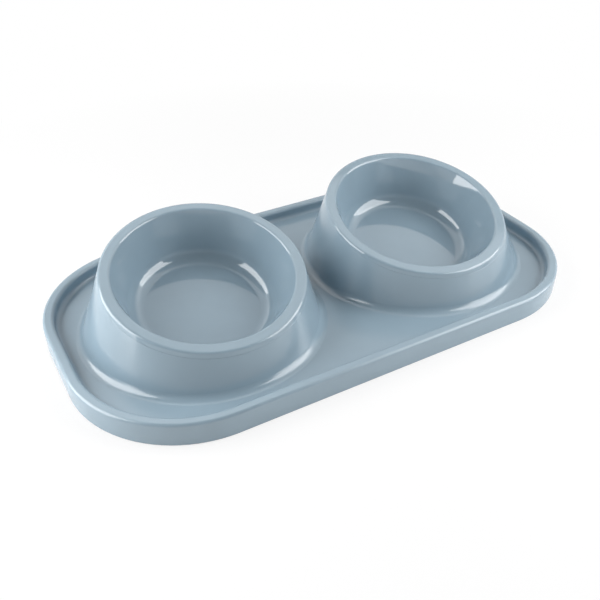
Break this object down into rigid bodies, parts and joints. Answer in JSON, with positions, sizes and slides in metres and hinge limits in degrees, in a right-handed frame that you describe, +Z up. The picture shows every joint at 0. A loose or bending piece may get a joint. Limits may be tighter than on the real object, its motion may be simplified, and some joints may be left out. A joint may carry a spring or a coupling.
{
  "type": "double pet bowl",
  "caption": "Double pet bowl with leaning lift-out bowls on flared stands in one rounded tray with a raised rim, pale blue-grey plastic on rubber feet.",
  "frame": {"origin": "on the ground, below the middle of the tray", "axes": "+X along the tray, from the left bowl to the right bowl seen from the front; the bowls lean towards -Y, which is the front; +Z up"},
  "size_m": [0.4, 0.2184, 0.0707],
  "materials": {
    "tray_plastic": "satin moulded plastic",
    "bowl_plastic": "polished moulded plastic",
    "foot_rubber": "matt moulded rubber"
  },
  "bodies": {
    "tray": {"tray": "tray_plastic", "front_left_foot": "foot_rubber", "back_left_foot": "foot_rubber", "front_right_foot": "foot_rubber", "back_right_foot": "foot_rubber"},
    "left_bowl": {"left_bowl": "bowl_plastic"},
    "right_bowl": {"right_bowl": "bowl_plastic"}
  },
  "joints": [
    {"name": "left_bowl_lift", "type": "slide", "parent": "tray", "child": "left_bowl", "axis": [0, -0.2436, 0.9699], "range_m": [0, 0.08]},
    {"name": "right_bowl_lift", "type": "slide", "parent": "tray", "child": "right_bowl", "axis": [0, -0.2436, 0.9699], "range_m": [0, 0.08]}
  ]
}
